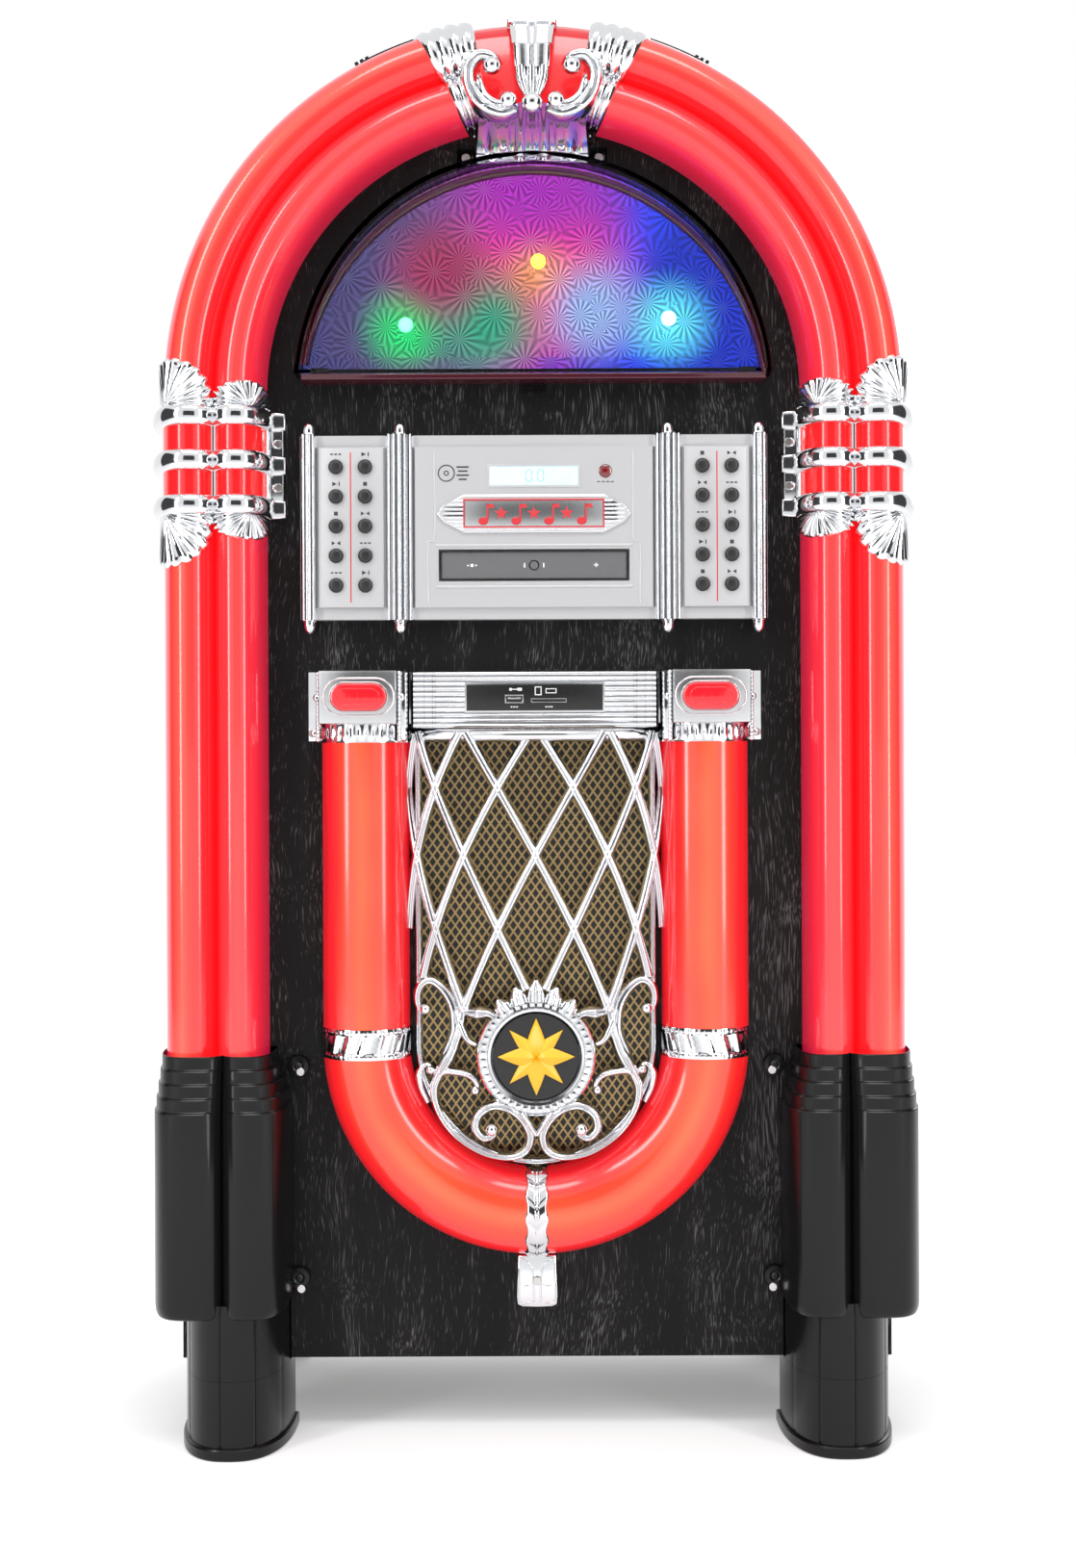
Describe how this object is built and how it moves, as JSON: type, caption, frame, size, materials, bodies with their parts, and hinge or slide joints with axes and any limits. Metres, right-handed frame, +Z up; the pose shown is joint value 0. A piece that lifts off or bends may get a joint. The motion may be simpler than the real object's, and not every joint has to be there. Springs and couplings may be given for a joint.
{
  "type": "jukebox",
  "caption": "Arch-topped floor-standing radio and disc player with lit tube lenses, chrome trims, a speaker grille and a sliding disc tray.",
  "frame": {"origin": "on the floor, under the middle of the whole object's box", "axes": "+Z up, +X to the object's right as seen from the front, -Y out of the front"},
  "size_m": [0.5652, 0.3, 1.05],
  "materials": {
    "black_veneer": "satin veneer",
    "back_board": "painted fibreboard",
    "black_plastic": "semi-gloss moulded plastic",
    "red_lens": "translucent, lit from inside",
    "orange_lens": "translucent, lit from inside",
    "chrome": "bright vacuum-metallised plastic",
    "silver_plastic": "satin silver paint",
    "silver_tray": "brushed front",
    "button_black": "satin",
    "switch_red": "translucent red",
    "window_blue": "back-lit display window",
    "clear_hood": "clear moulded hood with a dark red edge",
    "holographic": "patterned foil, lit by coloured lamps",
    "gold_mesh": "expanded metal",
    "steel_black": "black paint",
    "paper_cone": "pressed paper",
    "circuit_board": "white lamp boards",
    "screw_steel": "plated screws",
    "drive_metal": "zinc-plated sheet"
  },
  "bodies": {
    "root": {"amplifier_module": "steel_black", "back_panel": "back_board", "cabinet_floor": "back_board", "cabinet_front": "black_veneer", "cabinet_wrap": "black_veneer", "clamp_left": "chrome", "clamp_right": "chrome", "control_fascia": "silver_plastic", "crown_lens": "red_lens", "crown_ornament": "chrome", "disc_drive": "drive_metal", "display_backdrop": "holographic", "display_hood": "clear_hood", "fascia_pillars": "chrome", "grille_lattice": "chrome", "grille_mesh": "gold_mesh", "inner_lens_left": "orange_lens", "inner_lens_right": "orange_lens", "lamp_boards": "circuit_board", "leg_left": "black_plastic", "leg_right": "black_plastic", "lens_bands": "chrome", "lens_clasp": "chrome", "medallion": "chrome", "media_strip": "chrome", "nameplate": "chrome", "outer_lens_left": "red_lens", "outer_lens_right": "red_lens", "panel_windows": "window_blue", "rear_feet": "black_plastic", "sleeve_left": "black_plastic", "sleeve_right": "black_plastic", "speaker_baskets": "steel_black", "speaker_cones": "paper_cone", "switch_housing_left": "chrome", "switch_housing_right": "chrome", "trim_screws": "screw_steel"},
    "button_a1": {"button_a1": "button_black"},
    "button_a2": {"button_a2": "button_black"},
    "button_a3": {"button_a3": "button_black"},
    "button_a4": {"button_a4": "button_black"},
    "button_a5": {"button_a5": "button_black"},
    "button_b1": {"button_b1": "button_black"},
    "button_b2": {"button_b2": "button_black"},
    "button_b3": {"button_b3": "button_black"},
    "button_b4": {"button_b4": "button_black"},
    "button_b5": {"button_b5": "button_black"},
    "button_c1": {"button_c1": "button_black"},
    "button_c2": {"button_c2": "button_black"},
    "button_c3": {"button_c3": "button_black"},
    "button_c4": {"button_c4": "button_black"},
    "button_c5": {"button_c5": "button_black"},
    "button_d1": {"button_d1": "button_black"},
    "button_d2": {"button_d2": "button_black"},
    "button_d3": {"button_d3": "button_black"},
    "button_d4": {"button_d4": "button_black"},
    "button_d5": {"button_d5": "button_black"},
    "switch_left": {"switch_left": "switch_red"},
    "switch_right": {"switch_right": "switch_red"},
    "disc_tray": {"disc_tray": "silver_tray"}
  },
  "joints": [
    {"name": "button_a1_press", "type": "slide", "parent": "root", "child": "button_a1", "axis": [0, 1, 0], "range_m": [0, 0.0015], "stiffness_N_per_m": 300},
    {"name": "button_a2_press", "type": "slide", "parent": "root", "child": "button_a2", "axis": [0, 1, 0], "range_m": [0, 0.0015], "stiffness_N_per_m": 300},
    {"name": "button_a3_press", "type": "slide", "parent": "root", "child": "button_a3", "axis": [0, 1, 0], "range_m": [0, 0.0015], "stiffness_N_per_m": 300},
    {"name": "button_a4_press", "type": "slide", "parent": "root", "child": "button_a4", "axis": [0, 1, 0], "range_m": [0, 0.0015], "stiffness_N_per_m": 300},
    {"name": "button_a5_press", "type": "slide", "parent": "root", "child": "button_a5", "axis": [0, 1, 0], "range_m": [0, 0.0015], "stiffness_N_per_m": 300},
    {"name": "button_b1_press", "type": "slide", "parent": "root", "child": "button_b1", "axis": [0, 1, 0], "range_m": [0, 0.0015], "stiffness_N_per_m": 300},
    {"name": "button_b2_press", "type": "slide", "parent": "root", "child": "button_b2", "axis": [0, 1, 0], "range_m": [0, 0.0015], "stiffness_N_per_m": 300},
    {"name": "button_b3_press", "type": "slide", "parent": "root", "child": "button_b3", "axis": [0, 1, 0], "range_m": [0, 0.0015], "stiffness_N_per_m": 300},
    {"name": "button_b4_press", "type": "slide", "parent": "root", "child": "button_b4", "axis": [0, 1, 0], "range_m": [0, 0.0015], "stiffness_N_per_m": 300},
    {"name": "button_b5_press", "type": "slide", "parent": "root", "child": "button_b5", "axis": [0, 1, 0], "range_m": [0, 0.0015], "stiffness_N_per_m": 300},
    {"name": "button_c1_press", "type": "slide", "parent": "root", "child": "button_c1", "axis": [0, 1, 0], "range_m": [0, 0.0015], "stiffness_N_per_m": 300},
    {"name": "button_c2_press", "type": "slide", "parent": "root", "child": "button_c2", "axis": [0, 1, 0], "range_m": [0, 0.0015], "stiffness_N_per_m": 300},
    {"name": "button_c3_press", "type": "slide", "parent": "root", "child": "button_c3", "axis": [0, 1, 0], "range_m": [0, 0.0015], "stiffness_N_per_m": 300},
    {"name": "button_c4_press", "type": "slide", "parent": "root", "child": "button_c4", "axis": [0, 1, 0], "range_m": [0, 0.0015], "stiffness_N_per_m": 300},
    {"name": "button_c5_press", "type": "slide", "parent": "root", "child": "button_c5", "axis": [0, 1, 0], "range_m": [0, 0.0015], "stiffness_N_per_m": 300},
    {"name": "button_d1_press", "type": "slide", "parent": "root", "child": "button_d1", "axis": [0, 1, 0], "range_m": [0, 0.0015], "stiffness_N_per_m": 300},
    {"name": "button_d2_press", "type": "slide", "parent": "root", "child": "button_d2", "axis": [0, 1, 0], "range_m": [0, 0.0015], "stiffness_N_per_m": 300},
    {"name": "button_d3_press", "type": "slide", "parent": "root", "child": "button_d3", "axis": [0, 1, 0], "range_m": [0, 0.0015], "stiffness_N_per_m": 300},
    {"name": "button_d4_press", "type": "slide", "parent": "root", "child": "button_d4", "axis": [0, 1, 0], "range_m": [0, 0.0015], "stiffness_N_per_m": 300},
    {"name": "button_d5_press", "type": "slide", "parent": "root", "child": "button_d5", "axis": [0, 1, 0], "range_m": [0, 0.0015], "stiffness_N_per_m": 300},
    {"name": "switch_left_press", "type": "slide", "parent": "root", "child": "switch_left", "axis": [0, 1, 0], "range_m": [0, 0.0025], "stiffness_N_per_m": 600},
    {"name": "switch_right_press", "type": "slide", "parent": "root", "child": "switch_right", "axis": [0, 1, 0], "range_m": [0, 0.0025], "stiffness_N_per_m": 600},
    {"name": "disc_tray_slide", "type": "slide", "parent": "root", "child": "disc_tray", "axis": [0, -1, 0], "range_m": [0, 0.135]}
  ]
}
